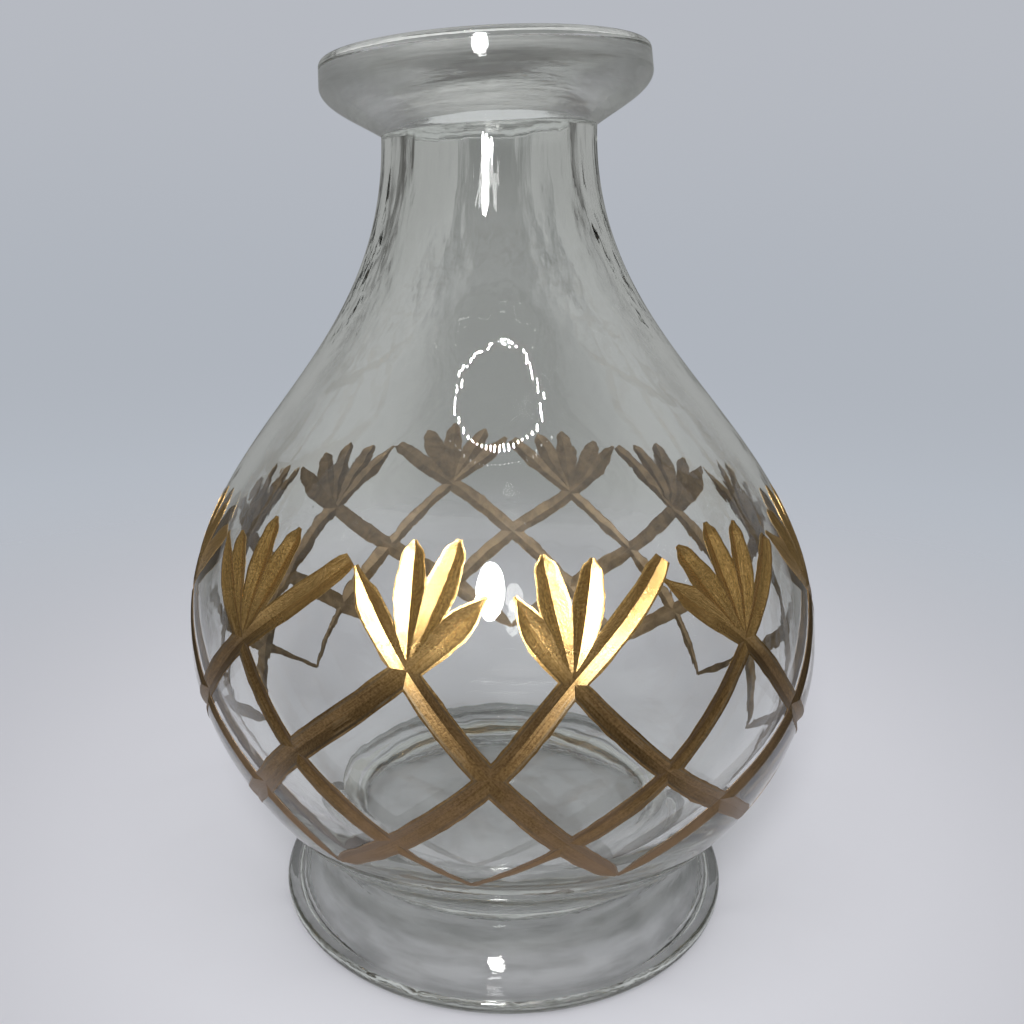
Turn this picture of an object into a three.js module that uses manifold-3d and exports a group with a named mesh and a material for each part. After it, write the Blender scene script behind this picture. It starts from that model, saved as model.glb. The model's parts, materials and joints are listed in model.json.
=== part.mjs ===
// Footed glass vase: a blown bulb with a long neck, a flared collar and a spread foot, cut round the
// bulb with a lattice of V grooves and leaf fans that are lined with gilding. Millimetres, +Z up, the
// origin at the middle of the foot's underside, the front of the vase towards -Y.
import * as THREE from 'three';
import { mergeVertices } from 'three/addons/utils/BufferGeometryUtils.js';
import Module from 'manifold-3d';

const wasm = await Module();
wasm.setup();

// Foot
const footRadius = 47.2;
const footEdgeRadius = 2.4;
const footEdgeTurn = 60;
const footHollowRadius = 40;
const footHollowHeight = 9.5;
const footSweep = 5.5;
const waistSweep = 7;

// Waist, where the bulb is set on the foot
const waistRadius = 37;
const waistHeight = 16;

// Bulb and neck: each fullness is the share of its curve that keeps the end's direction
const bellyRadius = 62.4;
const bellyHeight = 57.5;
const neckRadius = 19.6;
const neckTop = 152.5;
const waistFullness = 0.38;
const underFullness = 0.43;
const shoulderFullness = 0.434;
const neckFullness = 0.442;
const bulbWall = 3.2;
const neckWall = 4.6;
const floorThickness = 4;

// Collar
const collarRadius = 29.8;
const collarHeight = 12.8;
const collarWall = 2.6;
const collarFlareHeight = 9.4;
const collarFloor = 2.6;
const flareRun = 4.1;
const flareRise = 2.4;
const bandSweep = 3.6;
const cupRun = 6;
const cupSweep = 3;
const lipRise = 1.2;

// Lean of the blown glass: the neck stands off to one side and its collar is out of level
const neckShift = 5.5;
const leanStart = 20;
const leanEnd = 160;
const collarTilt = 4.4;

// Cut lattice: bearings in degrees from the front, growing to the right, and heights from the belly
const fanBearings = [-44.1, -13, 10.9, 41.9, 72.7, 103.3, 134, 163.2, 193.9, 226, 256.3, 286.2];
const peakBearings = [-23.6, 1.1, 28.5, 57.3, 88, 118.6, 148.6, 178.5, 210, 241.2, 271.2, 301];
const crossingBearings = [-31.9, -1.3, 25, 55.3, 88, 118.6, 147.8, 178.6, 210.8, 241.2, 271.3, 302.5];
const peakRise = 28.3;
const fanRise = 14;
const crossingDrop = 1.3;
const lowCrossingDrop = 14.8;
const endDrop = 25.2;
const stripWidth = 3.7;
const stripEndWidth = 0.8;
const stripTaper = 0.16;

// Leaf fans above the crossings: the middle front fans have a pair of leaves, the others three
const frontLeans = [[-8.8, 0.4, 7.6], [-0.1, 7.6], [-2.7, 5.6], [-9.2, -0.9, 6.8]];
const tripleLeans = [-9, -0.3, 7.2];
const leafRise = 18.2;
const leafWidth = 4.3;
const leafEndWidth = 0.6;
const leafFullness = 0.8;

// V grooves, their gilding and the clearance between pieces
const grooveSlope = 0.6;
const giltThickness = 0.35;
const jointGap = 0.3;
const cutProud = 3;

// Fineness of the facets
const facets = 40;
const outerSteps = { under: 5, upper: 9 };
const innerSteps = { under: 4, upper: 6 };
const arcSteps = 4;
const stripSteps = 6;
const leafSteps = 3;
const tangentStep = 0.02;
const mergeDistance = 1e-4;

const glass = new THREE.MeshStandardMaterial({
  color: 0xd9dfdd, roughness: 0.06, metalness: 0, transparent: true, opacity: 0.4,
});
const hazyGlass = new THREE.MeshStandardMaterial({
  color: 0xc3c8c6, roughness: 0.35, metalness: 0, transparent: true, opacity: 0.6,
});
const gilding = new THREE.MeshStandardMaterial({ color: 0x9c7434, roughness: 0.4, metalness: 0.9 });

const radians = THREE.MathUtils.degToRad;

// Points of a smooth curve between two ends with the two handles given
function sweep(from, fromHandle, toHandle, to, steps) {
  const ends = [from, fromHandle, toHandle, to].map(([radius, height]) => new THREE.Vector2(radius, height));
  return new THREE.CubicBezierCurve(...ends).getPoints(steps);
}

// Wall of the bulb from its bottom to the neck's top, moved in by a wall at the belly and the neck
function bulbProfile(bottom, bottomRadius, belly, neck, steps) {
  const flare = waistFullness * (belly - bottomRadius);
  const under = underFullness * (bellyHeight - bottom);
  const shoulder = shoulderFullness * (neckTop - bellyHeight);
  const throat = neckFullness * (neckTop - bellyHeight);
  const lower = sweep(
    [bottomRadius, bottom], [bottomRadius + flare, bottom],
    [belly, bellyHeight - under], [belly, bellyHeight], steps.under,
  );
  const upper = sweep(
    [belly, bellyHeight], [belly, bellyHeight + shoulder],
    [neck, neckTop - throat], [neck, neckTop], steps.upper,
  );
  return [...lower, ...upper.slice(1)];
}

const bulbBottom = waistHeight + jointGap;
const neckBore = neckRadius - neckWall;
const outerWall = bulbProfile(bulbBottom, waistRadius, bellyRadius, neckRadius, outerSteps);
const innerWall = bulbProfile(
  bulbBottom + floorThickness, waistRadius - bulbWall, bellyRadius - bulbWall, neckBore, innerSteps,
);

// Closed mesh with its shared vertices merged and the empty triangles at the axis left out
function closed(geometry) {
  geometry.deleteAttribute('normal');
  geometry.deleteAttribute('uv');
  const merged = mergeVertices(geometry, mergeDistance);
  const corners = merged.index.array;
  const kept = [];
  for (let i = 0; i < corners.length; i += 3) {
    const [a, b, c] = corners.slice(i, i + 3);
    if (a !== b && b !== c && c !== a) kept.push(a, b, c);
  }
  merged.setIndex(kept);
  return merged;
}

// Body of revolution from a profile that runs up the outside and down the inside
function turned(profile) {
  return closed(new THREE.LatheGeometry(profile, facets).rotateX(Math.PI / 2));
}

function toSolid(geometry) {
  const vertProperties = new Float32Array(geometry.attributes.position.array);
  const triVerts = new Uint32Array(geometry.index.array);
  return new wasm.Manifold(new wasm.Mesh({ numProp: 3, vertProperties, triVerts }));
}

function fromSolid(solid) {
  const { vertProperties, triVerts } = solid.getMesh();
  const geometry = new THREE.BufferGeometry();
  geometry.setAttribute('position', new THREE.BufferAttribute(new Float32Array(vertProperties), 3));
  geometry.setIndex([...triVerts]);
  return geometry;
}

function joined(solids) {
  return solids.reduce((whole, piece) => whole.add(piece));
}

// The lean: each level ring moves aside and tips, and the collar above the neck stays straight
function leaned(geometry) {
  const position = geometry.attributes.position;
  for (let i = 0; i < position.count; i += 1) {
    const x = position.getX(i);
    const z = position.getZ(i);
    const level = Math.min(z, neckTop);
    const tilt = radians(collarTilt) * (level / neckTop) ** 2;
    const centre = -neckShift * THREE.MathUtils.smoothstep(level, leanStart, leanEnd);
    position.setX(i, centre + x * Math.cos(tilt) - (z - level) * Math.sin(tilt));
    position.setZ(i, level + x * Math.sin(tilt) + (z - level) * Math.cos(tilt));
  }
  return geometry;
}

// Outside radius of the bulb at a height
function radiusAt(height) {
  const above = outerWall.slice(1, -1).findIndex((point) => point.y >= height);
  const next = above < 0 ? outerWall.length - 1 : above + 1;
  const high = outerWall[next];
  const low = outerWall[next - 1];
  return THREE.MathUtils.mapLinear(height, low.y, high.y, low.x, high.x);
}

function onGlass({ x: bearing, y: height }) {
  const turn = radians(bearing);
  const radius = radiusAt(height);
  return new THREE.Vector3(radius * Math.sin(turn), -radius * Math.cos(turn), height);
}

function outward({ x: bearing, y: height }) {
  const turn = radians(bearing);
  const slope = (radiusAt(height + jointGap) - radiusAt(height - jointGap)) / (2 * jointGap);
  return new THREE.Vector3(Math.sin(turn), -Math.cos(turn), -slope).normalize();
}

// V-shaped prism along a curve on the glass. Lift moves the V out of the glass, top is the height of its
// flat side over the glass and reach lengthens both ends.
function vPrism({ curve, widthAt, steps }, lift, top, reach) {
  const corners = [];
  for (let i = 0; i <= steps; i += 1) {
    const t = i / steps;
    const place = curve.getPoint(t);
    const ahead = onGlass(curve.getPoint(Math.min(t + tangentStep, 1)));
    const behind = onGlass(curve.getPoint(Math.max(t - tangentStep, 0)));
    const along = ahead.sub(behind).normalize();
    const out = outward(place);
    const side = new THREE.Vector3().crossVectors(along, out).normalize();
    const push = reach * (Number(i === steps) - Number(i === 0));
    const middle = onGlass(place).addScaledVector(along, push);
    const half = widthAt(t) / 2;
    const rim = half + (top - lift) / grooveSlope;
    const edge = middle.clone().addScaledVector(out, top);
    corners.push(
      middle.clone().addScaledVector(out, lift - half * grooveSlope),
      edge.clone().addScaledVector(side, rim),
      edge.clone().addScaledVector(side, -rim),
    );
  }
  const triangles = [0, 1, 2];
  for (let i = 0; i < steps; i += 1) {
    for (let k = 0; k < 3; k += 1) {
      const a = 3 * i + k;
      const b = 3 * i + ((k + 1) % 3);
      triangles.push(a, b + 3, b, a, a + 3, b + 3);
    }
  }
  triangles.push(3 * steps, 3 * steps + 2, 3 * steps + 1);
  const geometry = new THREE.BufferGeometry().setFromPoints(corners);
  geometry.setIndex(triangles);
  return toSolid(geometry);
}

// Groove in the glass, its gilding and the hollow left inside the gilding, for a set of cut strokes
const wallLean = Math.sin(Math.atan(1 / grooveSlope));
function cutSet(strokes) {
  const groove = joined(strokes.map((stroke) => vPrism(stroke, -jointGap / wallLean, cutProud, jointGap)));
  const lining = joined(strokes.map((stroke) => vPrism(stroke, 0, 0, 0)));
  const hollow = joined(strokes.map((stroke) => vPrism(stroke, giltThickness / wallLean, cutProud, 0)));
  return { groove, film: lining.subtract(hollow) };
}

// Bearing from a list that goes on round the vase in both directions
function bearingOf(list, index) {
  const turns = Math.floor(index / list.length);
  return list[index - turns * list.length] + 360 * turns;
}

function between(list, index) {
  return (bearingOf(list, index - 1) + bearingOf(list, index)) / 2;
}

const lowBearings = fanBearings.map((_, index) => between(crossingBearings, index));
const endBearings = fanBearings.map((_, index) => between(lowBearings, index + 1));

// One strip of the lattice: from a peak between two fans down through a fan, to the right or to the left
function strip(fan, toRight) {
  const peak = bearingOf(peakBearings, toRight ? fan - 1 : fan);
  const crossing = bearingOf(crossingBearings, toRight ? fan : fan - 1);
  const low = bearingOf(lowBearings, toRight ? fan + 1 : fan - 1);
  const end = bearingOf(endBearings, toRight ? fan + 1 : fan - 2);
  const curve = new THREE.SplineCurve([
    new THREE.Vector2(peak, bellyHeight + peakRise),
    new THREE.Vector2(fanBearings[fan], bellyHeight + fanRise),
    new THREE.Vector2(crossing, bellyHeight - crossingDrop),
    new THREE.Vector2(low, bellyHeight - lowCrossingDrop),
    new THREE.Vector2(end, bellyHeight - endDrop),
  ]);
  const widthAt = (t) => {
    const taper = Math.sin((Math.PI / 2) * Math.min(1, t / stripTaper, (1 - t) / stripTaper));
    return THREE.MathUtils.lerp(stripEndWidth, stripWidth, taper);
  };
  return { curve, widthAt, steps: stripSteps };
}

// One leaf of a fan, from the crossing up to its point
function leaf(fan, lean) {
  const curve = new THREE.LineCurve(
    new THREE.Vector2(fanBearings[fan], bellyHeight + fanRise),
    new THREE.Vector2(fanBearings[fan] + lean, bellyHeight + fanRise + leafRise),
  );
  const widthAt = (t) => THREE.MathUtils.lerp(leafEndWidth, leafWidth, Math.sin(Math.PI * t ** leafFullness));
  return { curve, widthAt, steps: leafSteps };
}

const strips = fanBearings.flatMap((_, fan) => [strip(fan, true), strip(fan, false)]);
const lattice = cutSet(strips);
const fans = fanBearings.map((_, fan) => {
  const leans = frontLeans[fan] ?? tripleLeans;
  return cutSet(leans.map((lean) => leaf(fan, lean)));
});

const vase = new THREE.Group();

function addPiece(name, geometry, material) {
  const shape = leaned(geometry);
  shape.computeVertexNormals();
  const mesh = new THREE.Mesh(shape, material);
  mesh.name = name;
  vase.add(mesh);
}

// Foot: hollow underneath, standing on a flat ring, with a rounded edge and a slope up to the waist
const edgeTurn = radians(footEdgeTurn);
const footHollow = new THREE.EllipseCurve(0, 0, footHollowRadius, footHollowHeight, Math.PI / 2, 0, true);
const footEdge = new THREE.EllipseCurve(
  footRadius - footEdgeRadius, footEdgeRadius, footEdgeRadius, footEdgeRadius, -Math.PI / 2, edgeTurn,
).getPoints(arcSteps);
const edgeEnd = footEdge.at(-1);
const footSlope = sweep(
  [edgeEnd.x, edgeEnd.y],
  [edgeEnd.x - footSweep * Math.sin(edgeTurn), edgeEnd.y + footSweep * Math.cos(edgeTurn)],
  [waistRadius, waistHeight - waistSweep], [waistRadius, waistHeight], outerSteps.under,
);
const footProfile = [
  ...footHollow.getPoints(arcSteps), ...footEdge, ...footSlope.slice(1), new THREE.Vector2(0, waistHeight),
];
addPiece('foot', turned(footProfile), glass);

// Bulb and neck in one blown piece, with the grooves cut in
const bulbShape = [
  new THREE.Vector2(0, bulbBottom), ...outerWall, ...innerWall.toReversed(),
  new THREE.Vector2(0, bulbBottom + floorThickness),
];
const grooves = joined([lattice.groove, ...fans.map((fan) => fan.groove)]);
addPiece('vessel_body', fromSolid(toSolid(turned(bulbShape)).subtract(grooves)), glass);

// Collar: a shallow cup on top of the neck with an upright band and a rounded lip
const collarBottom = neckTop + jointGap;
const bandBottom = neckTop + collarFlareHeight;
const cupRadius = collarRadius - collarWall;
const cupBottom = collarBottom + collarFloor;
const flare = sweep(
  [neckRadius, collarBottom], [neckRadius + flareRun, collarBottom + flareRise],
  [collarRadius, bandBottom - bandSweep], [collarRadius, bandBottom], outerSteps.under,
);
const lip = new THREE.EllipseCurve(
  collarRadius - collarWall / 2, neckTop + collarHeight - lipRise, collarWall / 2, lipRise, 0, Math.PI,
).getPoints(arcSteps);
const cup = sweep(
  [cupRadius, bandBottom], [cupRadius, bandBottom - cupSweep],
  [neckBore + cupRun, cupBottom], [neckBore, cupBottom], innerSteps.under,
);
const throat = new THREE.Vector2(neckBore, collarBottom);
addPiece('rim_collar', turned([throat, ...flare, ...lip, ...cup, throat]), hazyGlass);

// Gilding: the lattice is one net of crossing strips, and each fan is a film of its own
addPiece('gilt_lattice', fromSolid(lattice.film), gilding);
fans.forEach((fan, index) => {
  const name = `gilt_fan_${String(index + 1).padStart(2, '0')}`;
  addPiece(name, fromSolid(fan.film.subtract(lattice.groove)), gilding);
});

export default vase;
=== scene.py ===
import json
import math

import bpy
from mathutils import Matrix, Vector, noise

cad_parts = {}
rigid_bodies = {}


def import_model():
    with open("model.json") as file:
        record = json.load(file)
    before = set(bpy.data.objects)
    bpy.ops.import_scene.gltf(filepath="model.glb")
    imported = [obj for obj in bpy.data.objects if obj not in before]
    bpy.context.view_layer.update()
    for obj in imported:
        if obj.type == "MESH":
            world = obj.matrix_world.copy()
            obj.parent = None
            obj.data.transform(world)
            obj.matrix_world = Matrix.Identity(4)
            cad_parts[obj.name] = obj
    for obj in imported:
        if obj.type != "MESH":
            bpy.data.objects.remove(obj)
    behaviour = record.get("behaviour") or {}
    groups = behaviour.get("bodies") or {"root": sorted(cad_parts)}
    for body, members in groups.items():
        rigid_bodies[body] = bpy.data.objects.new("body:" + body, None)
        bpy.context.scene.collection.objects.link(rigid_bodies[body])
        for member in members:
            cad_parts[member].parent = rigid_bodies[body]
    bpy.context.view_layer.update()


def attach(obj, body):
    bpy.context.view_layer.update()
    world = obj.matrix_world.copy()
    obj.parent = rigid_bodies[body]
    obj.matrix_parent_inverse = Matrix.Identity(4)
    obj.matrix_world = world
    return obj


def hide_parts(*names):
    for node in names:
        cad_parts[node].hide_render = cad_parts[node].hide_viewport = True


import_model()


# Bulb and neck: one gather of clear glass, blown to a round bulb and drawn up into a neck that sank to
# one side while it was soft. The wall is thin at the belly and thick at the neck, and the outside is
# ground when cold with V grooves: strips that cross in a lattice, and fans of leaves over the crossings.
def bezier(ends, steps):
    """Points of a smooth curve from the first end to the last, with the two handles between them."""
    a, b, c, d = [Vector(end) for end in ends]
    shares = [step / steps for step in range(steps + 1)]
    return [
        tuple(a * (1 - t)**3 + 3 * b * t * (1 - t)**2 + 3 * c * t**2 * (1 - t) + d * t**3)
        for t in shares
    ]


def turned(name, profile, steps):
    """A profile of radii and heights in millimetres, drawn out point by point and spun round the axis."""
    bpy.ops.object.select_all(action="DESELECT")
    bpy.ops.mesh.primitive_plane_add(size=0.001)
    piece = bpy.context.object
    piece.name = name
    bpy.ops.object.mode_set(mode="EDIT")
    bpy.ops.mesh.select_all(action="SELECT")
    bpy.ops.mesh.merge(type="CENTER")
    bpy.ops.transform.translate(value=(profile[0][0] / 1000, 0, profile[0][1] / 1000))
    for (radius, height), (next_radius, next_height) in zip(profile, profile[1:]):
        step = ((next_radius - radius) / 1000, 0, (next_height - height) / 1000)
        bpy.ops.mesh.extrude_vertices_move(TRANSFORM_OT_translate={"value": step})
    bpy.ops.mesh.select_all(action="SELECT")
    bpy.ops.mesh.spin(steps=steps, angle=2 * math.pi, center=(0, 0, 0), axis=(0, 0, 1))
    bpy.ops.mesh.select_all(action="SELECT")
    bpy.ops.mesh.remove_doubles(threshold=2e-6)
    bpy.ops.mesh.normals_make_consistent(inside=False)
    bpy.ops.object.mode_set(mode="OBJECT")
    return piece


waist_radius, waist_height = 37, 16
belly_radius, belly_height = 62.05, 57.5
neck_radius, neck_bore, neck_top = 19.6, 15, 152.5
floor_radius, floor_height, belly_inside = 33.8, 20.3, 58.9
shoulder_fullness, neck_fullness = 98.7, 110.5
disc_rings = 8
round_steps = 240

waist = (waist_radius, waist_height)
belly = (belly_radius, belly_height)
neck = (neck_radius, neck_top)
outside = bezier([waist, (46.5, 16.4), (belly_radius, 39.6), belly], 36)
outside += bezier([belly, (belly_radius, shoulder_fullness), (neck_radius, neck_fullness), neck], 72)[1:]
floor_edge = (floor_radius, floor_height)
belly_wall = (belly_inside, belly_height)
mouth = (neck_bore, neck_top)
inside = bezier([floor_edge, (43.4, floor_height), (belly_inside, 41.5), belly_wall], 30)
inside += bezier([belly_wall, (belly_inside, shoulder_fullness), (neck_bore, neck_fullness), mouth], 56)[1:]
underside = [(waist_radius * share / disc_rings, waist_height) for share in range(disc_rings)]
bulb_floor = [(floor_radius * share / disc_rings, floor_height) for share in range(disc_rings - 1, -1, -1)]
bulb = turned("bulb_and_neck", underside + outside + inside[::-1] + bulb_floor, round_steps)

# The cuts: bearings in degrees from the front, growing to the right, and heights in millimetres. A strip
# runs from a tip through a fan's place, a crossing and a low crossing to its low end.
fan_places = [
    (-44.1, 71.1), (-13, 72.7), (10.9, 71.2), (41.9, 72.2), (72.7, 71.5), (103.3, 71.5),
    (134, 70.4), (163.2, 69.8), (193.9, 72.3), (226, 70.4), (256.3, 71.5), (286.2, 71.5),
]
crossings = [
    (-31.9, 55.9), (-1.3, 56.5), (25, 55), (55.3, 56.2), (88, 56.2), (118.6, 56.2),
    (147.8, 56), (178.6, 57.6), (210.8, 55.8), (241.2, 56.2), (271.3, 56.2), (302.5, 56.9),
]
low_crossings = [
    (-43.4, 44), (-17.3, 41.4), (9.9, 43), (37.5, 44.6), (71.6, 43.2), (103.3, 43.2),
    (133.2, 43.2), (163.2, 43.2), (194.7, 43.2), (226, 43.2), (256.2, 43.2), (286.9, 43.2),
]
low_ends = [
    (-31.8, 30.8), (-5.2, 33), (20.1, 33.2), (55, 32), (87.5, 32.3), (118.3, 32.3),
    (148.2, 32.3), (179, 32.3), (210.4, 32.3), (241.1, 32.3), (271.6, 32.3), (301.8, 32.3),
]
left_tips = [
    (-58.2, 85.5), (-23, 86.4), (3.3, 83.5), (28.1, 83.7), (58, 85.2), (88.6, 85.5),
    (119.2, 85.5), (149.2, 85.2), (179.1, 85.8), (210.6, 85.2), (241.8, 85.5), (271.8, 85.5),
]
right_tips = [
    (-24.1, 87.1), (-1, 83.5), (29, 86.6), (57.2, 84.7), (87.4, 85.5), (118, 85.5),
    (148, 85.2), (177.9, 85.4), (209.4, 85.6), (240.6, 85.2), (270.6, 85.5), (300.8, 85.5),
]
leaf_tips = [
    [(-52.9, 86.8), (-43.7, 90.7), (-36.5, 90)], [(-13.1, 90.6), (-5.4, 90.9)],
    [(8.2, 88.8), (16.5, 87.9)], [(32.7, 87.8), (41, 89.9), (48.7, 88.9)],
]
even_leaves = ((-9, 16), (-0.3, 18.4), (7.2, 17))
for bearing, height in fan_places[len(leaf_tips):]:
    leaf_tips.append([(bearing + turn, height + rise) for turn, rise in even_leaves])


def round_to(places, index):
    """The place at an index that goes on round the bulb in both directions."""
    turns, index = divmod(index, len(places))
    return places[index][0] + 360 * turns, places[index][1]


def radius_at(height):
    """The bulb's outer radius at a height."""
    for (radius, level), (next_radius, next_level) in zip(outside, outside[1:]):
        if next_level >= height:
            return radius + (next_radius - radius) * (height - level) / (next_level - level)
    return neck_radius


def on_glass(bearing, height):
    """The place on the bulb's outside at a bearing and a height."""
    turn = math.radians(bearing)
    return Vector((radius_at(height) * math.sin(turn), -radius_at(height) * math.cos(turn), height))


def off_glass(bearing, height):
    """The way straight out of the glass there."""
    turn = math.radians(bearing)
    reach = 0.2
    slope = (radius_at(height + reach) - radius_at(height - reach)) / (2 * reach)
    return Vector((math.sin(turn), -math.cos(turn), -slope)).normalized()


def passing(points, share):
    """A place on the smooth line through the points, one unit of share from each point to the next."""
    start = min(int(share), len(points) - 2)
    t = share - start
    a, b, c, d = [Vector(points[min(max(start + k, 0), len(points) - 1)]) for k in (-1, 0, 1, 2)]
    return b + 0.5 * t * ((c - a) + t * ((2 * a - 5 * b + 4 * c - d) + t * (3 * (b - c) + d - a)))


def stroke(points, width_at, steps):
    """A wheel cut: at each step the place on the glass, the ways across and out, and half its width."""
    last = len(points) - 1
    nearby = 0.02
    stations = []
    for step in range(steps + 1):
        share = last * step / steps
        bearing, height = passing(points, share)
        after = on_glass(*passing(points, min(share + nearby, last)))
        before = on_glass(*passing(points, max(share - nearby, 0)))
        out = off_glass(bearing, height)
        across = (after - before).cross(out).normalized()
        stations.append((on_glass(bearing, height), across, out, width_at(share) / 2))
    return stations


def eased(knots):
    """A width that goes smoothly from each knot's value to the next."""
    def width_at(share):
        for (low, value), (high, next_value) in zip(knots, knots[1:]):
            if share <= high:
                t = (share - low) / (high - low)
                return value + (next_value - value) * t * t * (3 - 2 * t)
        return knots[-1][1]
    return width_at


def strip_width(high, low, blunt, fading):
    """A strip's width from its tip down: a pointed or blunt arm, an even body, a blunt or fading end."""
    arm = [(0, 2), (0.15, 3.3), (0.5, 3.7)] if blunt else [(0, 0.3), (0.5, 4.3)]
    body = [(1, high * 0.92), (1.5, high * 1.03), (2, high), (2.4, low)]
    end = [(2.9, low * 0.9), (3.25, 1.2), (4, 0.35)] if fading else [(3, low), (3.6, low * 0.85), (4, 0.5)]
    return eased(arm + body + end)


rightward_widths = [
    strip_width(2.9, 3.8, blunt=False, fading=True), strip_width(3.7, 3.8, blunt=False, fading=False),
    strip_width(3.0, 3.4, blunt=False, fading=False), strip_width(3.3, 3.4, blunt=False, fading=False),
]
leftward_widths = [
    strip_width(3.6, 3.6, blunt=True, fading=False), strip_width(3.9, 3.9, blunt=False, fading=False),
    strip_width(3.5, 3.7, blunt=True, fading=False), strip_width(2.7, 3.3, blunt=True, fading=True),
]
leaf_width = eased([(0, 0.8), (0.3, 3.1), (0.6, 4.6), (0.85, 3.2), (1, 0.3)])
strip_steps, leaf_steps = 48, 20
strips = []
for fan, place in enumerate(fan_places):
    rightward = [
        left_tips[fan], place, crossings[fan],
        round_to(low_crossings, fan + 1), round_to(low_ends, fan + 1),
    ]
    leftward = [
        right_tips[fan], place, round_to(crossings, fan - 1),
        round_to(low_crossings, fan - 1), round_to(low_ends, fan - 2),
    ]
    strips.append(stroke(rightward, rightward_widths[fan % len(rightward_widths)], strip_steps))
    strips.append(stroke(leftward, leftward_widths[fan % len(leftward_widths)], strip_steps))
leaves = []
for place, tips in zip(fan_places, leaf_tips):
    leaves.append([stroke([place, tip], leaf_width, leaf_steps) for tip in tips])

wall_slope = 0.38
wall_shares = (0.3, 0.6, 0.85)
proud = 1.2


def wheel_cut(bow, lift):
    """A groove's section, lifted off its walls: a V where bow is 0, a round trough where it is 1."""
    def section(half, at):
        depth = half * wall_slope
        wall = [(half * share, lift - depth * (1 - share) * (1 + bow * share)) for share in wall_shares]
        rim = half + (proud - lift) / (wall_slope * (1 + bow))
        right_wall = wall + [(rim, proud)]
        return [(0, lift - depth)] + right_wall + [(-x, y) for x, y in reversed(right_wall)]
    return section


brush_apart = 100


def bars(name, strokes, section):
    """A closed bar along each stroke: a grid folded to the section and shut at its ends, joined in one.

    The UV map runs along a bar in millimetres, and each bar starts in a part of its own.
    """
    group = bpy.data.collections.new(name)
    bpy.context.scene.collection.children.link(group)
    for stations in strokes:
        rings = [
            [at + across * x + out * y for x, y in section(half, at)]
            for at, across, out, half in stations
        ]
        corners = len(rings[0])
        bpy.ops.object.select_all(action="DESELECT")
        bpy.ops.mesh.primitive_grid_add(x_subdivisions=corners, y_subdivisions=len(rings) - 1, size=0.001)
        bar = bpy.context.object
        for row, ring in enumerate(rings):
            for column in range(corners + 1):
                bar.data.vertices[row * (corners + 1) + column].co = ring[column % corners] / 1000
        length = (stations[-1][0] - stations[0][0]).length
        start = len(group.objects) * brush_apart
        for corner in bar.data.uv_layers[0].uv:
            corner.vector = (corner.vector[0], corner.vector[1] * length + start)
        bpy.ops.object.mode_set(mode="EDIT")
        bpy.ops.mesh.select_all(action="SELECT")
        bpy.ops.mesh.remove_doubles(threshold=1e-7)
        bpy.ops.mesh.fill_holes(sides=corners)
        bpy.ops.mesh.select_all(action="SELECT")
        bpy.ops.mesh.normals_make_consistent(inside=False)
        bpy.ops.object.mode_set(mode="OBJECT")
        group.objects.link(bar)
    first, *others = group.objects
    group.objects.unlink(first)
    first.name = name
    if others:
        union = first.modifiers.new("union", "BOOLEAN")
        union.operation = "UNION"
        union.operand_type = "COLLECTION"
        union.collection = group
        union.solver = "MANIFOLD"
        bpy.context.view_layer.objects.active = first
        bpy.ops.object.modifier_apply(modifier="union")
    for bar in others:
        bpy.data.objects.remove(bar)
    bpy.data.collections.remove(group)
    return first


def cut(piece, tool):
    """Takes the tool's shape out of the piece."""
    difference = piece.modifiers.new("cut", "BOOLEAN")
    difference.operation = "DIFFERENCE"
    difference.object = tool
    difference.solver = "MANIFOLD"
    bpy.context.view_layer.objects.active = piece
    bpy.ops.object.modifier_apply(modifier="cut")


strip_bow, leaf_bow = 0.3, 0
all_leaves = [leaf for fan in leaves for leaf in fan]
for strokes, bow in ((strips, strip_bow), (all_leaves, leaf_bow)):
    grooves = bars("grooves", strokes, wheel_cut(bow, lift=0))
    cut(bulb, grooves)
    bpy.data.objects.remove(grooves)


def mark(piece, name, is_marked):
    """A face attribute that is 1 on the faces whose centre in millimetres and normal pass is_marked."""
    faces = piece.data.attributes.new(name, "FLOAT", "FACE")
    for face in piece.data.polygons:
        faces.data[face.index].value = float(is_marked(face.center * 1000, face.normal))


neck_tilt = math.radians(4.4)
lean_aside, lean_start, lean_height = -5.5, 20, 140


def leaned(piece):
    """The lean of the soft glass: level rings move left and tip, and the collar goes with the neck."""
    for vertex in piece.data.vertices:
        x, y, z = vertex.co * 1000
        level = min(z, neck_top)
        tilt = neck_tilt * (level / neck_top)**2
        t = min(max((level - lean_start) / lean_height, 0), 1)
        aside = lean_aside * t * t * (3 - 2 * t)
        x, z = (
            aside + x * math.cos(tilt) - (z - level) * math.sin(tilt),
            level + x * math.sin(tilt) + (z - level) * math.cos(tilt),
        )
        vertex.co = Vector((x, y, z)) / 1000


def smoothed(piece, angle):
    """Smooth shading that keeps the edges over an angle in degrees sharp."""
    bpy.ops.object.select_all(action="DESELECT")
    piece.select_set(True)
    bpy.context.view_layer.objects.active = piece
    bpy.ops.object.shade_smooth_by_angle(angle=math.radians(angle))


def meets_collar_or_foot(at, normal):
    """The flat faces of the bulb at its two joints."""
    at_collar = at.z > neck_top - 0.01 and normal.z > 0.9
    at_foot = at.z < waist_height + 0.01 and normal.z < -0.9
    return at_collar or at_foot


mark(bulb, "fused", meets_collar_or_foot)
leaned(bulb)
smoothed(bulb, angle=16)


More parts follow.
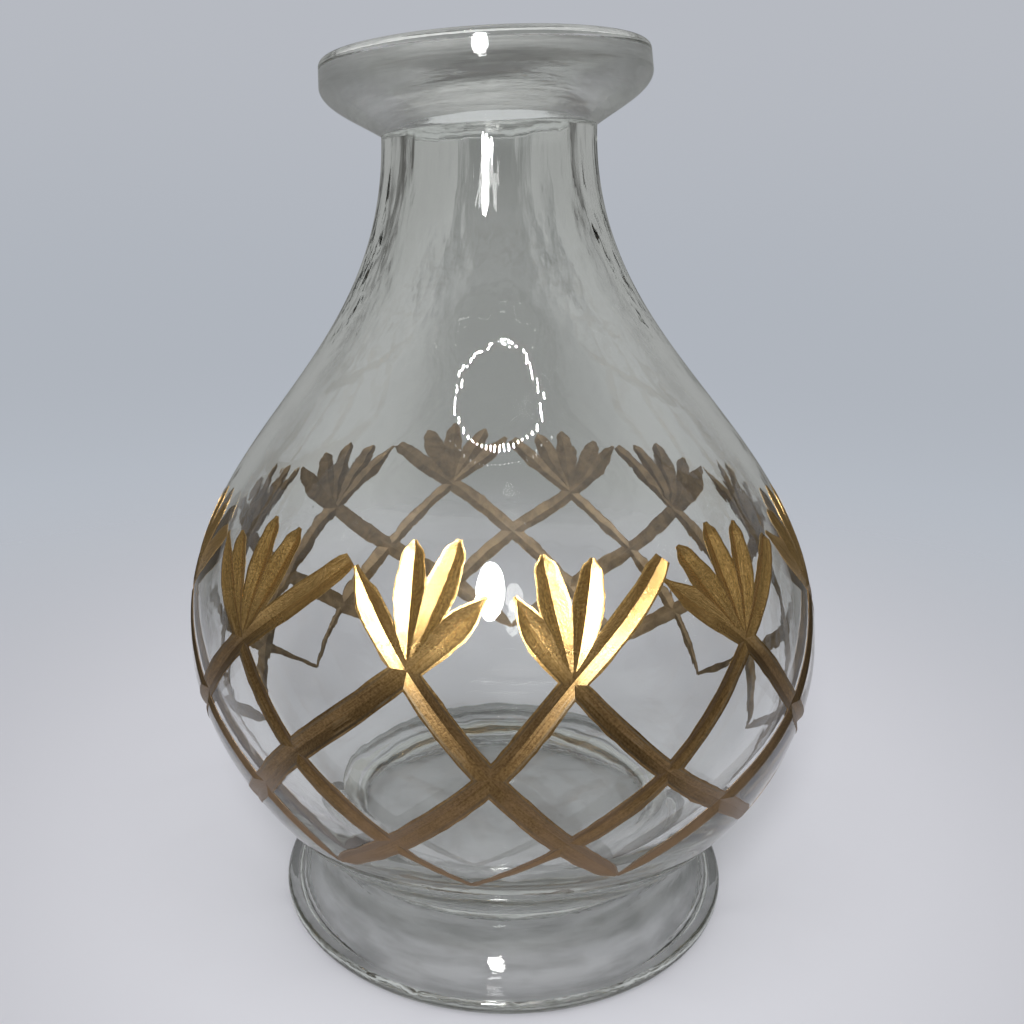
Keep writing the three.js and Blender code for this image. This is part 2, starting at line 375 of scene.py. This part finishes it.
class Strand:
    """One output of a material's nodes. Sums and products of strands add the Math nodes for them."""
    def __init__(self, tree, socket=None):
        self.tree = tree
        self.socket = socket

    def node(self, kind, settings, sockets, output=0):
        """A node with its settings and its sockets' values or links, as a strand from one of its outputs."""
        made = self.tree.nodes.new(kind)
        for name, value in settings.items():
            setattr(made, name, value)
        for name, value in sockets.items():
            if isinstance(value, Strand):
                self.tree.links.new(value.socket, made.inputs[name])
            else:
                made.inputs[name].default_value = value
        return Strand(self.tree, made.outputs[output]) if made.outputs else None

    def math(self, operation, a, b):
        return self.node("ShaderNodeMath", {"operation": operation}, {0: a, 1: b})

    def __add__(self, other):
        return self.math("ADD", self, other)

    def __radd__(self, other):
        return self.math("ADD", other, self)

    def __sub__(self, other):
        return self.math("SUBTRACT", self, other)

    def __rsub__(self, other):
        return self.math("SUBTRACT", other, self)

    def __mul__(self, other):
        return self.math("MULTIPLY", self, other)

    def __rmul__(self, other):
        return self.math("MULTIPLY", other, self)


def finish(name):
    """A new material with no nodes but the Object coordinates, which are its first strand."""
    made = bpy.data.materials.new(name)
    made.use_nodes = True
    made.node_tree.nodes.clear()
    return made, Strand(made.node_tree).node("ShaderNodeTexCoord", {}, {}, "Object")


def noise_of(place, stretch, scale, detail=2.0, roughness=0.5):
    """Noise of about 0 to 1 on the place, stretched by a factor along each axis."""
    pulled = place.node("ShaderNodeVectorMath", {"operation": "MULTIPLY"}, {0: place, 1: stretch})
    sockets = {"Vector": pulled, "Scale": scale, "Detail": detail, "Roughness": roughness}
    return place.node("ShaderNodeTexNoise", {}, sockets)


def step_up(value, low, high):
    """0 under low, 1 over high, and a smooth rise between them."""
    settings = {"interpolation_type": "SMOOTHSTEP"}
    return value.node("ShaderNodeMapRange", settings, {"Value": value, "From Min": low, "From Max": high})


def mixed(share, first, second):
    """A colour that goes from the first to the second with the share."""
    return share.node("ShaderNodeMix", {"data_type": "RGBA"}, {0: share, 6: first, 7: second}, 2)


def specks_of(place, scale, size, rarity):
    """Round specks, in the few cells of a random pattern whose own number is over the rarity."""
    cell = {"Vector": place, "Scale": scale, "Randomness": 1.0}
    near = place.node("ShaderNodeTexVoronoi", {}, cell, "Distance")
    colour = place.node("ShaderNodeTexVoronoi", {}, cell, "Color")
    number = place.node("ShaderNodeSeparateColor", {}, {0: colour}, 0)
    return (1 - step_up(near, size * 0.6, size)) * number.math("GREATER_THAN", number, rarity)


def clear_through(surface, place, absorbed, density):
    """Glass from a surface: lamps shine through it, fused joints don't show, and thick glass darkens."""
    lamp = place.node("ShaderNodeLightPath", {}, {}, "Is Shadow Ray")
    bounced = place.node("ShaderNodeLightPath", {}, {}, "Is Diffuse Ray")
    fused = place.node("ShaderNodeAttribute", {"attribute_name": "fused"}, {}, "Fac")
    open_joint = place.node("ShaderNodeBsdfTransparent", {}, {})
    skin = place.node("ShaderNodeBsdfTransparent", {}, {"Color": (0.88, 0.885, 0.88, 1)})
    thin_shade = place.node("ShaderNodeBsdfTransparent", {}, {"Color": (0.74, 0.745, 0.74, 1)})
    thick_shade = place.node("ShaderNodeBsdfTransparent", {}, {"Color": (0.22, 0.22, 0.22, 1)})
    rim = place.node("ShaderNodeAttribute", {"attribute_name": "rim"}, {}, "Fac")
    shade = place.node("ShaderNodeMixShader", {}, {0: rim, 1: thin_shade, 2: thick_shade})
    lit = place.node("ShaderNodeMixShader", {}, {0: lamp, 1: surface, 2: skin})
    filled = place.node("ShaderNodeMixShader", {}, {0: bounced, 1: lit, 2: shade})
    joined = place.node("ShaderNodeMixShader", {}, {0: fused, 1: filled, 2: open_joint})
    body = place.node("ShaderNodeVolumeAbsorption", {}, {"Color": absorbed, "Density": density})
    place.node("ShaderNodeOutputMaterial", {}, {"Surface": joined, "Volume": body})


blown, place = finish("blown clear glass")
height = place.node("ShaderNodeSeparateXYZ", {}, {0: place}, "Z")
on_neck = step_up(height, 0.108, 0.142)
waves = noise_of(place, (1, 1, 1), 45)
folds = noise_of(place, (1, 1, 0.16), 150)
streaks = noise_of(place, (1, 1, 0.07), 420, 3.0)
fine_streaks = noise_of(place, (1, 1, 0.05), 1500)
sideways = place.node("ShaderNodeSeparateXYZ", {}, {0: place}, "X")
on_left = 1 - step_up(sideways, -0.024, -0.012)
on_right = step_up(sideways, 0.010, 0.024)
over_shoulder = step_up(height, 0.106, 0.122)
left_scar = on_left * over_shoulder * (1 - step_up(height, 0.136, 0.150))
right_scar = on_right * over_shoulder * (1 - step_up(height, 0.128, 0.142))
scars = noise_of(place, (1, 1, 0.09), 260)
drawn = folds * 0.6 + streaks * 0.06 + fine_streaks * 0.008
ripples = noise_of(place, (1, 1, 1), 110)
on_foot = 1 - step_up(height, 0.0148, 0.0168)
swirls = noise_of(place, (0.15, 0.15, 1), 620, 3.0)
uneven = waves * 0.12 + ripples * 0.05 + on_neck * drawn + streaks * 0.006 + on_foot * swirls * 0.12
relief = uneven + (left_scar + right_scar * 0.6) * scars * 0.22
bent = place.node("ShaderNodeBump", {}, {"Height": relief, "Strength": 1.0, "Distance": 0.001})
seeds = specks_of(place, scale=130, size=0.022, rarity=0.82)
# Dark grey on the lowest faces of the foot's edge is painted contact shadow where it meets the floor.
painted_contact_shadow = place.node("ShaderNodeAttribute", {"attribute_name": "painted_contact_shadow"}, {}, "Fac")
specked = mixed(seeds, (0.98, 0.985, 0.98, 1), (0.12, 0.11, 0.10, 1))
# On the foot the glass turns grey: more in the swirls of the spreading, and a little everywhere as painted
# shade of the shaded floor seen through it.
streaky = on_foot * (0.2 + step_up(swirls, 0.4, 0.7) * 0.45)
swirls_and_painted_shade = mixed(streaky, specked, (0.45, 0.455, 0.445, 1))
clear = mixed(painted_contact_shadow, swirls_and_painted_shade, (0.22, 0.22, 0.21, 1))
blown_surface = place.node("ShaderNodeBsdfPrincipled", {}, {
    "Base Color": clear, "Roughness": 0.0, "IOR": 1.5, "Transmission Weight": 1.0, "Normal": bent,
})
glass_tint, glass_density = (0.42, 0.44, 0.36, 1), 15
clear_through(blown_surface, place, glass_tint, glass_density)
bulb.data.materials.clear()
bulb.data.materials.append(blown)
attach(bulb, "root")
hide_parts("vessel_body")


# Foot: a second gather of the same glass, spread out under the bulb and fused to it at the waist, with the
# swirls of the spreading in it. Its glass is tinted grey in the swirls, and evenly as painted shade of the
# floor under it. Its underside is hollow, so that it stands on a ring, and its edge is rounded by the fire;
# the faces where it stands are dark grey with painted contact shadow.
foot_radius, edge_radius = 47.2, 1.45
edge_turn, edge_steps = math.radians(212), 22
rim_inside, contact_shadow_inside = 43.6, 45.8
joint_gap = 0.02
hollow_radius, hollow_height, hollow_bend = 43.9, 12.4, (33, 9.2)
hollow = bezier([(0, hollow_height), (14, hollow_height), (29.5, hollow_height), hollow_bend], 24)
hollow += bezier([hollow_bend, (35.3, 7.1), (43.4, 5.4), (hollow_radius, 0)], 24)[1:]
edge = [
    (foot_radius - edge_radius + edge_radius * math.sin(turn), edge_radius - edge_radius * math.cos(turn))
    for turn in [edge_turn * step / edge_steps for step in range(edge_steps + 1)]
]
seat_height = waist_height - joint_gap
slope = bezier([edge[-1], (41.5, 4.7), (waist_radius, 8.6), (waist_radius, seat_height)], 28)[1:]
seat = [(waist_radius * share / disc_rings, seat_height) for share in range(disc_rings - 1, -1, -1)]
foot = turned("spread_foot", hollow + edge + slope + seat, round_steps)
mark(foot, "fused", lambda at, normal: at.z > seat_height - 0.01 and normal.z > 0.9)
mark(foot, "rim", lambda at, normal: at.xy.length > rim_inside)
# The lowest faces of the outer edge get the painted contact shadow.
mark(foot, "painted_contact_shadow", lambda at, normal: at.xy.length > contact_shadow_inside and normal.z < 0.15)
leaned(foot)
smoothed(foot, angle=30)
foot.data.materials.clear()
foot.data.materials.append(blown)
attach(foot, "root")
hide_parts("foot")


# Collar: a third gather, flared out of the neck's top to a shallow cup with an upright band. The inside
# of the cup is ground dull, in rings, and the outside keeps the smooth skin with the marks of the tool.
joint = neck_top + joint_gap
collar_radius, cup_radius = 29.8, 27.2
lip_radius, lip_middle, lip_height = 1.2, 28.35, 164.05
throat_height, cup_height = 157.4, 163.9
flare = bezier([(neck_radius, joint), (23.7, 155.2), (collar_radius, 157.6), (collar_radius, 160.8)], 30)
lip_steps = 16
lip = [
    (lip_middle + lip_radius * math.cos(turn), lip_height + lip_radius * math.sin(turn))
    for turn in [math.pi * step / lip_steps for step in range(lip_steps + 1)]
]
cup = bezier([(cup_radius, cup_height), (26.6, 163), (22, 161), (neck_bore, throat_height)], 26)
collar = turned("cup_collar", [(neck_bore, joint)] + flare + lip + cup + [(neck_bore, joint)], round_steps)


def in_cup(at, normal):
    """The faces of the cup's inside, from its throat to just under the lip."""
    return throat_height - 0.1 < at.z < cup_height - 0.2 and at.xy.length < cup_radius


mark(collar, "fused", lambda at, normal: at.z < joint + 0.01 and normal.z < -0.9)
mark(collar, "ground", in_cup)
leaned(collar)
smoothed(collar, angle=40)

hazy, place = finish("hazy collar glass")
around_y = {"rotation_type": "Y_AXIS"}
tipped = place.node("ShaderNodeVectorRotate", around_y, {"Vector": place, "Angle": neck_tilt})
rings = noise_of(tipped, (0.05, 0.05, 1), 1100, 4.0, 0.65)
bands = noise_of(tipped, (0.06, 0.06, 1), 260)
blotches = noise_of(place, (1, 1, 1), 160, 3.0)
ground = place.node("ShaderNodeAttribute", {"attribute_name": "ground"}, {}, "Fac")
relief = rings * (0.03 + ground * 0.05) + bands * 0.20 + blotches * 0.08
bent = place.node("ShaderNodeBump", {}, {"Height": relief, "Strength": 1.0, "Distance": 0.001})
dullness = 0.03 + ground * (0.06 + bands * 0.14)
cloudy = ground * step_up(blotches + rings * 0.5, 0.55, 1.0)
clouded = mixed(cloudy, (0.97, 0.975, 0.97, 1), (0.80, 0.81, 0.80, 1))
hazy_surface = place.node("ShaderNodeBsdfPrincipled", {}, {
    "Base Color": clouded, "Roughness": dullness, "IOR": 1.5, "Transmission Weight": 1.0, "Normal": bent,
})
chalky = place.node("ShaderNodeBsdfPrincipled", {}, {
    "Base Color": (0.80, 0.81, 0.79, 1), "Roughness": 0.9,
})
dusted = ground * (0.38 + step_up(bands + rings * 0.6, 0.6, 1.0) * 0.6)
clouded_surface = place.node("ShaderNodeMixShader", {}, {0: dusted, 1: hazy_surface, 2: chalky})
clear_through(clouded_surface, place, glass_tint, glass_density)
collar.data.materials.clear()
collar.data.materials.append(hazy)
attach(collar, "root")
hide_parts("rim_collar")


# Lattice gilding: gold paint brushed into the crossing grooves by hand, so it follows both walls of the V
# and spills a little over their edges. It is bright where light meets a wall, and dull brown from behind.
def brushed(bow, top, spill):
    """A coat's outer bound: the groove sunk just into the glass, with a ragged lip over each edge."""
    def section(half, at):
        depth = half * wall_slope
        sunk, under = 0.05, -0.03
        wall = [(half * share, -sunk - depth * (1 - share) * (1 + bow * share)) for share in wall_shares]
        shoulder = half + (sunk + under) / (wall_slope * (1 + bow))
        sides = []
        for side in (1, -1):
            chance = abs(noise.noise(at * 0.9 + Vector((0, 0, side * 31))))
            ragged = spill * (0.35 + 1.5 * chance)
            reach = half + sunk / (wall_slope * (1 + bow)) + ragged
            sides.append(wall + [(shoulder, under), (reach, under), (reach, top)])
        return [(0, -sunk - depth)] + sides[0] + [(-x, y) for x, y in reversed(sides[1])]
    return section


coat_thickness = 0.08
lattice_hollow = bars("lattice_hollow", strips, wheel_cut(strip_bow, lift=coat_thickness))
leaf_hollow = bars("leaf_hollow", all_leaves, wheel_cut(leaf_bow, lift=coat_thickness))
lattice = bars("gilded_lattice", strips, brushed(strip_bow, top=0.05, spill=0.26))
lattice_bound = lattice.copy()
lattice_bound.data = lattice.data.copy()
bpy.context.scene.collection.objects.link(lattice_bound)
cut(lattice, lattice_hollow)
cut(lattice, leaf_hollow)


def coated(piece, outer, behind):
    """Drops doubled faces, then paints those that look out of the glass with outer, the rest with behind."""
    piece.data.validate()
    piece.data.materials.clear()
    piece.data.materials.append(outer)
    piece.data.materials.append(behind)
    for face in piece.data.polygons:
        at = face.center * 1000
        out = off_glass(math.degrees(math.atan2(at.x, -at.y)), at.z)
        face.material_index = 0 if face.normal.dot(out) > -0.2 else 1


gold, place = finish("gold paint")
level = place.node("ShaderNodeSeparateXYZ", {}, {0: place}, "Z")
along = place.node("ShaderNodeUVMap", {"uv_map": "UVMap"}, {})
patches = noise_of(place, (1, 1, 1), 170, 3.0, 0.6)
brush = noise_of(along, (24, 0.16, 1), 1.0, 3.0, 0.6)
grain = noise_of(place, (1, 1, 1), 2600, 3.0, 0.7)
flakes = noise_of(place, (1, 1, 1), 5200, 2.0, 0.7)
in_leaves = step_up(level, 0.068, 0.078)
over_width = place.node("ShaderNodeSeparateXYZ", {}, {0: along}, "X")
from_middle = place.math("ABSOLUTE", over_width - 0.5, 0.0)
at_edge = (1 - step_up(from_middle, 0.155, 0.235)) * step_up(from_middle, 0.14, 0.15)
# Lower down, the gold is mixed towards a dull brown and made less metallic.
low_down = 1 - step_up(level + patches * 0.03, 0.050, 0.072)
streaky = step_up(brush * 0.45 + grain * 0.55, 0.3, 0.7)
strip_gold = mixed(streaky, (0.09, 0.052, 0.019, 1), (0.30, 0.187, 0.077, 1))
leaf_gold = mixed(streaky, (0.43, 0.242, 0.07, 1), (0.92, 0.615, 0.25, 1))
metal = mixed(in_leaves, strip_gold, leaf_gold)
thin = step_up(brush + patches * 0.6, 0.82, 1.1) * (1 - in_leaves * 0.7)
worn = mixed(thin * 0.5 + at_edge * (1 - in_leaves) * 0.6, metal, (0.13, 0.105, 0.07, 1))
browner_towards_bottom = mixed(low_down * (0.4 + grain * 0.7), worn, (0.20, 0.125, 0.07, 1))
relief = flakes * 0.035 + grain * 0.035 + brush * 0.02
sparkle = place.node("ShaderNodeBump", {}, {"Height": relief, "Strength": 1.0, "Distance": 0.001})
gold_surface = place.node("ShaderNodeBsdfPrincipled", {}, {
    "Base Color": browner_towards_bottom, "Metallic": 0.95 - thin * 0.3 - low_down * 0.35, "Normal": sparkle,
    "Roughness": 0.38 - in_leaves * 0.17 + grain * 0.08,
})
place.node("ShaderNodeOutputMaterial", {}, {"Surface": gold_surface})

backing, place = finish("back of the gold paint")
mottle = noise_of(place, (1, 1, 1), 330, 4.0, 0.65)
dull = mixed(step_up(mottle, 0.25, 0.75), (0.15, 0.098, 0.05, 1), (0.34, 0.235, 0.13, 1))
backing_surface = place.node("ShaderNodeBsdfPrincipled", {}, {
    "Base Color": dull, "Metallic": 0.35, "Roughness": 0.50 + mottle * 0.2,
})
place.node("ShaderNodeOutputMaterial", {}, {"Surface": backing_surface})

coated(lattice, gold, backing)
leaned(lattice)
smoothed(lattice, angle=24)
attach(lattice, "root")
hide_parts("gilt_lattice")


# Leaf fans: the same gold paint in the leaf cuts, each fan a patch of its own over a crossing of the
# lattice. The leaves narrow to the crossing and end in a point, with the V's valley as their midrib.
for index, fan in enumerate(leaves):
    name = f"gilded_fan_{index + 1:02d}"
    patch = bars(name, fan, brushed(leaf_bow, top=0.06, spill=0.18))
    inner = bars("fan_hollow", fan, wheel_cut(leaf_bow, lift=coat_thickness))
    cut(patch, inner)
    cut(patch, lattice_hollow)
    cut(patch, lattice_bound)
    bpy.data.objects.remove(inner)
    coated(patch, gold, backing)
    leaned(patch)
    smoothed(patch, angle=24)
    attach(patch, "root")
    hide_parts(f"gilt_fan_{index + 1:02d}")
bpy.data.objects.remove(lattice_hollow)
bpy.data.objects.remove(leaf_hollow)
bpy.data.objects.remove(lattice_bound)


# Studio: a pale floor that fades out into a plain blue-grey surround, a soft lamp in front, a bowed row of
# small lamps overhead, and the surround's own even light. Glass and metal see the surround with soft
# darker bands, which turn with the camera; the dark band straight behind, seen through glass, is a painted
# shadow of the vase.
bpy.ops.object.select_all(action="DESELECT")
bpy.ops.mesh.primitive_circle_add(vertices=96, radius=0.9, fill_type="NGON", location=(0, 0, -0.0003))
floor = bpy.context.object
floor.name = "pale_floor"
bpy.ops.object.transform_apply()
paper, place = finish("pale floor")
radius = place.node("ShaderNodeVectorMath", {"operation": "LENGTH"}, {0: place}, "Value")
fade = step_up(radius, 0.10, 0.42)
sheet = place.node("ShaderNodeBsdfPrincipled", {}, {
    "Base Color": (0.80, 0.80, 0.85, 1), "Roughness": 0.9,
})
nothing = place.node("ShaderNodeBsdfTransparent", {}, {})
faded = place.node("ShaderNodeMixShader", {}, {0: fade, 1: sheet, 2: nothing})
place.node("ShaderNodeOutputMaterial", {}, {"Surface": faded})
floor.data.materials.clear()
floor.data.materials.append(paper)

surround = bpy.data.worlds.new("studio surround")
bpy.context.scene.world = surround
surround.use_nodes = True
surround.node_tree.nodes.clear()
ray = Strand(surround.node_tree)
way = ray.node("ShaderNodeTexCoord", {}, {}, "Generated")
rise = ray.node("ShaderNodeSeparateXYZ", {}, {0: way}, "Z")
view_way = ray.node("ShaderNodeTexCoord", {}, {}, "Camera")
sidewise = ray.node("ShaderNodeSeparateXYZ", {}, {0: view_way}, "X")
inward = ray.node("ShaderNodeSeparateXYZ", {}, {0: view_way}, "Z")

# The camera is tipped down: a ray's level way onward and its bearing aside have that tip taken out.
onward_share, rise_share = 1.04, 0.29
onward = inward * onward_share + rise * rise_share
aside = ray.math("ABSOLUTE", ray.math("ARCTAN2", sidewise, onward), 0.0)

# The camera, rays through glass, mirrored rays and the even light each meet a surround of their own.
low_glow = mixed(1 - step_up(rise, -0.45, -0.12), (0.43, 0.46, 0.51, 1), (0.54, 0.58, 0.64, 1))
pale = mixed(step_up(rise, -0.1, 0.2), low_glow, (0.47, 0.49, 0.535, 1))
seen = ray.node("ShaderNodeBackground", {}, {"Color": pale, "Strength": 1.0})
# Straight behind, what glass lets through is darker: a painted shadow of the vase on the surround.
behind = mixed(step_up(aside, 0.04, 0.2), (0.26, 0.27, 0.265, 1), (0.44, 0.45, 0.445, 1))
walled = mixed(step_up(aside, 0.5, 1.1), behind, (0.10, 0.10, 0.095, 1))
roofed = mixed(step_up(rise, 0.3, 0.6), walled, (0.58, 0.60, 0.605, 1))
through = ray.node("ShaderNodeBackground", {}, {"Color": roofed, "Strength": 1.0})
dark_room = mixed(step_up(aside, 0.4, 1.2), (0.22, 0.225, 0.22, 1), (0.08, 0.08, 0.075, 1))
over_view = step_up(aside, 2.1, 2.9) * step_up(rise, 0.2, 0.45) * (1 - step_up(rise, 0.65, 0.9))
over_head = step_up(aside, 1.5, 2.1) * step_up(rise, 0.6, 0.78)
front_glow = over_view.math("MAXIMUM", over_view, over_head)
mirror_room = mixed(front_glow, dark_room, (0.80, 0.79, 0.75, 1))
mirrored = ray.node("ShaderNodeBackground", {}, {"Color": mirror_room, "Strength": 1.0})
light = ray.node("ShaderNodeBackground", {}, {"Color": (0.97, 0.98, 1.0, 1), "Strength": 0.54})
glossy = ray.node("ShaderNodeLightPath", {}, {}, "Is Glossy Ray")
passed = ray.node("ShaderNodeLightPath", {}, {}, "Is Transmission Ray")
camera_ray = ray.node("ShaderNodeLightPath", {}, {}, "Is Camera Ray")
shiny = ray.node("ShaderNodeMixShader", {}, {0: glossy, 1: light, 2: mirrored})
glassy = ray.node("ShaderNodeMixShader", {}, {0: passed, 1: shiny, 2: through})
whole = ray.node("ShaderNodeMixShader", {}, {0: camera_ray, 1: glassy, 2: seen})
ray.node("ShaderNodeOutputWorld", {}, {"Surface": whole})
surround.cycles.sampling_method = "NONE"


def lamp_at(name, place, aim, size, power, spread):
    """A soft oval lamp: two widths in metres, power in watts, and the angle it spreads over in degrees."""
    made = bpy.data.lights.new(name, "AREA")
    made.shape = "ELLIPSE"
    made.size, made.size_y = size
    made.energy = power
    made.spread = math.radians(spread)
    lamp = bpy.data.objects.new(name, made)
    bpy.context.scene.collection.objects.link(lamp)
    lamp.location = place
    lamp.rotation_euler = (Vector(aim) - Vector(place)).to_track_quat("-Z", "Y").to_euler()


lamp_at(
    "front_lamp", place=(-0.015, -0.25, 0.221), aim=(0, 0, 0.085),
    size=(0.044, 0.084), power=0.105, spread=60,
)
beads, bead_size, row_height = 23, 0.0024, 0.33
row_reach, row_shift = 0.09, -0.002
row_depth, row_skew, row_bow = -0.152, 0.0065, 0.0335
for bead in range(beads):
    share = 2 * bead / (beads - 1) - 1
    sideways = row_reach * share + row_shift
    depthways = row_depth + row_skew * share + row_bow * share**2
    name = f"row_bead_{bead + 1:02d}"
    place, below = (sideways, depthways, row_height), (sideways, depthways, 0)
    lamp_at(name, place, below, (bead_size, bead_size), power=0.008, spread=180)

# Camera: close to the vase and at the height of its neck, tipped down and slightly out of level.
camera_data = bpy.data.cameras.new("camera")
picture_width, focal_pixels = 1024, 1000
camera_place = (0, -0.194, 0.1365)
camera_data.sensor_width = 36
camera_data.lens = camera_data.sensor_width * focal_pixels / picture_width
camera_data.clip_start = 0.01
camera = bpy.data.objects.new("camera", camera_data)
bpy.context.scene.collection.objects.link(camera)
pitch, roll, yaw = math.radians(16.088), math.radians(1.204), math.radians(0.04)
ahead = Vector((math.sin(yaw) * math.cos(pitch), math.cos(yaw) * math.cos(pitch), -math.sin(pitch)))
right = Vector((math.cos(yaw), -math.sin(yaw), 0))
up = right.cross(ahead)
level_right = math.cos(roll) * right + math.sin(roll) * up
level_up = -math.sin(roll) * right + math.cos(roll) * up
turn = Matrix((level_right, level_up, -ahead)).transposed().to_4x4()
camera.matrix_world = Matrix.Translation(camera_place) @ turn
scene = bpy.context.scene
scene.camera = camera
scene.view_settings.view_transform = "Standard"
scene.cycles.max_bounces = 24
scene.cycles.glossy_bounces = 20
scene.cycles.transmission_bounces = 20
scene.cycles.transparent_max_bounces = 32
